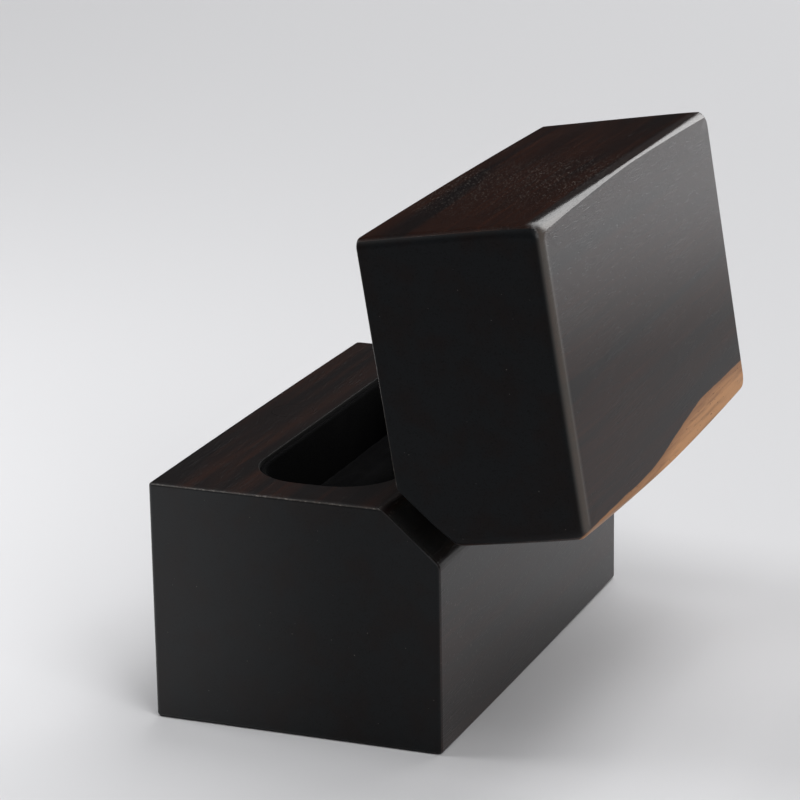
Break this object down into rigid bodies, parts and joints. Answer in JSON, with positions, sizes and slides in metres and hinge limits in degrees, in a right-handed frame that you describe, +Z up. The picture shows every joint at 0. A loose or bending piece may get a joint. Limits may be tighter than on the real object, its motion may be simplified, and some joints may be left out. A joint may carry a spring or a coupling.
{
  "type": "ring box",
  "caption": "Slim solid wood ring box, its hinged lid standing open, with a lined cavity in each half, a slotted pad and chamfered back edges.",
  "frame": {"origin": "centre of the base block's underside, on the surface that the box stands on", "axes": "+Z up, +X along the box's length and its hinges, +Y towards the hinge side; the lid stands open towards +Y"},
  "size_m": [0.05, 0.0422, 0.0497],
  "materials": {
    "ebony": "sanded fine and oiled, satin",
    "velvet": "black velvet",
    "foam": "black flocked foam",
    "brass": "satin brass",
    "nickel": "nickel plated"
  },
  "bodies": {
    "base": {"base_block": "ebony", "base_floor_lining": "velvet", "base_wall_lining": "velvet", "ring_pad_front": "foam", "ring_pad_back": "foam", "base_magnet": "nickel", "base_magnet_plug": "ebony", "left_hinge_base_leaf": "brass", "left_hinge_base_nails": "brass", "left_hinge_pin": "brass", "right_hinge_base_leaf": "brass", "right_hinge_base_nails": "brass", "right_hinge_pin": "brass"},
    "lid": {"lid_block": "ebony", "lid_floor_lining": "velvet", "lid_wall_lining": "velvet", "lid_magnet": "nickel", "lid_magnet_plug": "ebony", "left_hinge_lid_leaf": "brass", "left_hinge_lid_nails": "brass", "right_hinge_lid_leaf": "brass", "right_hinge_lid_nails": "brass"}
  },
  "joints": [
    {"name": "lid_hinge", "type": "hinge", "parent": "base", "child": "lid", "pos_m": [0, 0.01036, 0.02275], "axis": [1, 0, 0], "range_deg": [0, 81]}
  ]
}
